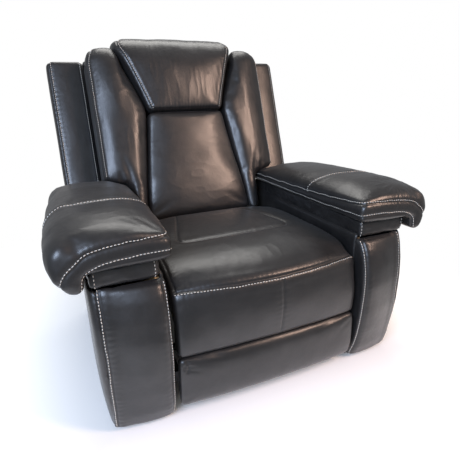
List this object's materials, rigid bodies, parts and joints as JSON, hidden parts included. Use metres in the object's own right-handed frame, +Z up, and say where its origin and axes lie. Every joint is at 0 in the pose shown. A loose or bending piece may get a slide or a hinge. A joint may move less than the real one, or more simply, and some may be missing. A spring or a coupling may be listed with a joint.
{
  "type": "power recliner armchair",
  "caption": "Upholstered power recliner armchair with folding footrest, reclining back, tilting headrest and pillow arms.",
  "frame": {"origin": "on the floor, under the middle of the chair's whole box", "axes": "+Z up, the chair faces -Y, +X is to the right of someone looking at its front"},
  "size_m": [1.09, 1.0756, 1.0768],
  "materials": {
    "black_leather": "semi-gloss, pale stitching",
    "plywood": "raw",
    "black_painted_steel": "satin",
    "zinc_plated_steel": "satin",
    "spring_steel": "oiled",
    "black_plastic": "matt",
    "grey_button_plastic": "satin"
  },
  "bodies": {
    "base": {"arm_board_left": "plywood", "arm_board_right": "plywood", "arm_front_panel_left": "black_leather", "arm_front_panel_right": "black_leather", "arm_inner_panel_left": "black_leather", "arm_inner_panel_right": "black_leather", "arm_neck_left": "black_leather", "arm_neck_right": "black_leather", "arm_outer_panel_left": "black_leather", "arm_outer_panel_right": "black_leather", "arm_pad_left": "black_leather", "arm_pad_right": "black_leather", "base_rail_left": "black_painted_steel", "base_rail_right": "black_painted_steel", "base_tube_front": "black_painted_steel", "base_tube_rear": "black_painted_steel", "control_box": "black_plastic", "foot_front_left": "black_plastic", "foot_front_right": "black_plastic", "foot_rear_left": "black_plastic", "foot_rear_right": "black_plastic", "power_inlet": "black_plastic", "switch_plate": "black_plastic"},
    "seat": {"seat_cushion": "black_leather", "seat_front_panel": "black_leather", "seat_rail_front": "plywood", "seat_rail_rear": "plywood", "seat_spring": "spring_steel", "seat_side_plate_left": "black_painted_steel", "seat_side_plate_right": "black_painted_steel", "recline_motor": "black_plastic", "footrest_motor": "black_plastic"},
    "back": {"back_bolster_left": "black_leather", "back_bolster_right": "black_leather", "back_post_left": "black_painted_steel", "back_post_right": "black_painted_steel", "back_rail_bottom": "plywood", "back_rail_top": "plywood", "back_rear_cover": "black_leather", "back_top_roll": "black_leather", "back_wing_left": "black_leather", "back_wing_right": "black_leather", "lumbar_pad": "black_leather"},
    "headrest": {"headrest_pad": "black_leather", "headrest_board": "plywood"},
    "swing_links": {"swing_link_left": "zinc_plated_steel", "swing_link_right": "zinc_plated_steel"},
    "carry_links": {"carry_link_left": "zinc_plated_steel", "carry_link_right": "zinc_plated_steel"},
    "footrest": {"footrest_pad": "black_leather", "footrest_board": "plywood", "footrest_bracket_left": "zinc_plated_steel", "footrest_bracket_right": "zinc_plated_steel"},
    "recline_carriage": {"recline_carriage": "zinc_plated_steel"},
    "footrest_carriage": {"footrest_carriage": "zinc_plated_steel"},
    "button_head_down": {"button_head_down": "grey_button_plastic"},
    "button_head_up": {"button_head_up": "grey_button_plastic"},
    "button_recline": {"button_recline": "grey_button_plastic"},
    "button_return": {"button_return": "grey_button_plastic"}
  },
  "joints": [
    {"name": "back_recline", "type": "hinge", "parent": "seat", "child": "back", "pos_m": [0, 0.125, 0.27], "axis": [-1, 0, 0], "range_deg": [0, 42]},
    {"name": "seat_tilt", "type": "hinge", "parent": "base", "child": "seat", "pos_m": [0, 0.015, 0.2], "axis": [-1, 0, 0], "range_deg": [0, 6]},
    {"name": "headrest_tilt", "type": "hinge", "parent": "back", "child": "headrest", "pos_m": [0, 0.24562, 0.79437], "axis": [1, 0, 0], "range_deg": [0, 25]},
    {"name": "footrest_extend", "type": "hinge", "parent": "seat", "child": "swing_links", "pos_m": [0, -0.41, 0.25], "axis": [-1, 0, 0], "range_deg": [0, 90]},
    {"name": "carry_link_turn", "type": "hinge", "parent": "swing_links", "child": "carry_links", "pos_m": [0, -0.39213, 0.04578], "axis": [-1, 0, 0], "range_deg": [-135, 0]},
    {"name": "footrest_turn", "type": "hinge", "parent": "carry_links", "child": "footrest", "pos_m": [0, -0.42707, 0.17618], "axis": [-1, 0, 0], "range_deg": [0, 135]},
    {"name": "recline_carriage_slide", "type": "slide", "parent": "seat", "child": "recline_carriage", "axis": [0, -1, 0], "range_m": [0, 0.11]},
    {"name": "footrest_carriage_slide", "type": "slide", "parent": "seat", "child": "footrest_carriage", "axis": [0, -1, 0], "range_m": [0, 0.158]},
    {"name": "button_head_down_press", "type": "slide", "parent": "base", "child": "button_head_down", "axis": [-1, 0, 0], "range_m": [0, 0.0015], "stiffness_N_per_m": 400},
    {"name": "button_head_up_press", "type": "slide", "parent": "base", "child": "button_head_up", "axis": [-1, 0, 0], "range_m": [0, 0.0015], "stiffness_N_per_m": 400},
    {"name": "button_recline_press", "type": "slide", "parent": "base", "child": "button_recline", "axis": [-1, 0, 0], "range_m": [0, 0.0015], "stiffness_N_per_m": 400},
    {"name": "button_return_press", "type": "slide", "parent": "base", "child": "button_return", "axis": [-1, 0, 0], "range_m": [0, 0.0015], "stiffness_N_per_m": 400}
  ],
  "couplings": [
    {"joint": "seat_tilt", "follows": "back_recline", "ratio": 0.14286},
    {"joint": "recline_carriage_slide", "follows": "back_recline", "m_per_rad": 0.15},
    {"joint": "carry_link_turn", "follows": "footrest_extend", "ratio": -1.5},
    {"joint": "footrest_turn", "follows": "footrest_extend", "ratio": 1.5},
    {"joint": "footrest_carriage_slide", "follows": "footrest_extend", "m_per_rad": 0.1}
  ]
}
